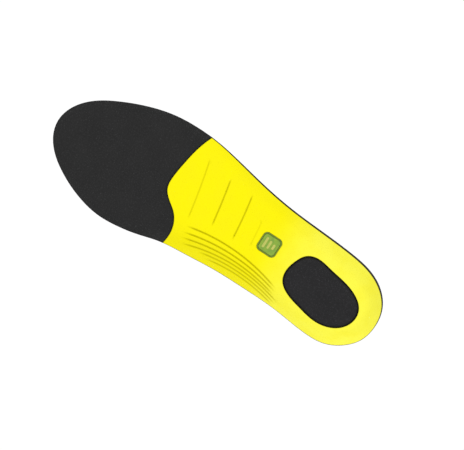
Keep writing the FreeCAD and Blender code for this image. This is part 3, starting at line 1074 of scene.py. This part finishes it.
# The studio's sizes are metres.
FLOOR_GAP = 0.0004
FLOOR_REACH = 40.0
FLOOR_CORNERS = ((-1, -1), (1, -1), (1, 1), (-1, 1))
centre_of_part = (cad_low + cad_high) / 2


def one_way(material):
    """Lets the floor be seen from above only, so that the sole shows from below."""
    tree = material.node_tree
    surface = tree.nodes["Principled BSDF"].outputs["BSDF"]
    clear = tree.nodes.new("ShaderNodeBsdfTransparent")
    side = tree.nodes.new("ShaderNodeNewGeometry")
    choose = tree.nodes.new("ShaderNodeMixShader")
    tree.links.new(side.outputs["Backfacing"], choose.inputs["Fac"])
    tree.links.new(surface, choose.inputs[1])
    tree.links.new(clear.outputs["BSDF"], choose.inputs[2])
    tree.links.new(choose.outputs["Shader"], tree.nodes["Material Output"].inputs["Surface"])


def pale_floor():
    """Plain floor just under the sole. It throws no light or shadow onto the sole itself."""
    n = Nodes("pale_studio_floor")
    tone = n.mix(n.noise(0.002, 3.0), (0.90, 0.90, 0.90, 1), (0.93, 0.93, 0.93, 1))
    material = n.finish(tone, 0.9, n.bump(n.noise(0.05, 2.0), depth_mm=0.1), specular=0.05)
    one_way(material)
    mesh = bpy.data.meshes.new("studio_floor")
    floor_points = [(x * FLOOR_REACH, y * FLOOR_REACH, -FLOOR_GAP) for x, y in FLOOR_CORNERS]
    mesh.from_pydata(floor_points, [], [(0, 1, 2, 3)])
    mesh.materials.append(material)
    floor = bpy.data.objects.new("studio_floor", mesh)
    floor.visible_shadow = False
    floor.visible_diffuse = False
    floor.visible_glossy = False
    floor.visible_transmission = False
    bpy.context.scene.collection.objects.link(floor)


def soft_box(name, place, size, watts):
    """Square area light that faces the middle of the part."""
    light = bpy.data.lights.new(name, "AREA")
    light.shape = "SQUARE"
    light.size = size
    light.energy = watts
    lamp = bpy.data.objects.new(name, light)
    lamp.location = place
    lamp.rotation_mode = "QUATERNION"
    lamp.rotation_quaternion = (centre_of_part - lamp.location).to_track_quat("-Z", "Y")
    lamp.visible_camera = False
    bpy.context.scene.collection.objects.link(lamp)


def white_surround(strength):
    world = bpy.data.worlds.new("white_studio")
    world.use_nodes = True
    background = world.node_tree.nodes["Background"]
    background.inputs["Color"].default_value = (1, 1, 1, 1)
    background.inputs["Strength"].default_value = strength
    bpy.context.scene.world = world


pale_floor()
white_surround(strength=1.04)
soft_box("sole_key", (-0.75, 0.55, -0.70), 0.7, 2.4)
soft_box("sole_fill", (0.8, -0.5, -0.9), 1.0, 3.2)
soft_box("foot_key", (0.55, -0.75, 1.15), 0.8, 5.0)
soft_box("foot_fill", (-0.9, 0.6, 0.9), 1.2, 1.5)
bpy.context.scene.view_settings.view_transform = "Standard"

# ---------------------------------------------------------------- camera

# The sole is seen almost squarely from below, a little from its outer side and its heel end,
# with the toe turned up and to the left. TOE_ANGLE is the angle between the heel-to-toe line
# and the picture's right-hand direction.
TOE_ANGLE = math.radians(146.7)
SIDE_TILT = math.radians(1.2)
HEEL_TILT = math.radians(2.5)
LENS = 600.0
SENSOR = 36.0
PICTURE_WIDTH_MM = 343.3
AIM = (-1.04, -10.5)


def sole_camera():
    """Long lens under the sole, aimed at AIM, with PICTURE_WIDTH_MM across the picture."""
    data = bpy.data.cameras.new("sole_camera")
    data.lens = LENS
    data.sensor_width = SENSOR
    camera = bpy.data.objects.new("sole_camera", data)
    toe_right, toe_up = math.cos(TOE_ANGLE), math.sin(TOE_ANGLE)
    right = Vector((-toe_up, toe_right, 0.0))
    up = Vector((toe_right, toe_up, 0.0))
    back = Vector((0.0, 0.0, -1.0))
    level = Matrix((right, up, back)).transposed()
    turned = Matrix.Rotation(SIDE_TILT, 3, "Y") @ Matrix.Rotation(-HEEL_TILT, 3, "X") @ level
    distance = PICTURE_WIDTH_MM * MM * LENS / SENSOR
    aim = Vector((AIM[0] * MM, AIM[1] * MM, 0.0))
    camera.matrix_world = Matrix.Translation(aim + turned.col[2] * distance) @ turned.to_4x4()
    bpy.context.scene.collection.objects.link(camera)
    bpy.context.scene.camera = camera


sole_camera()
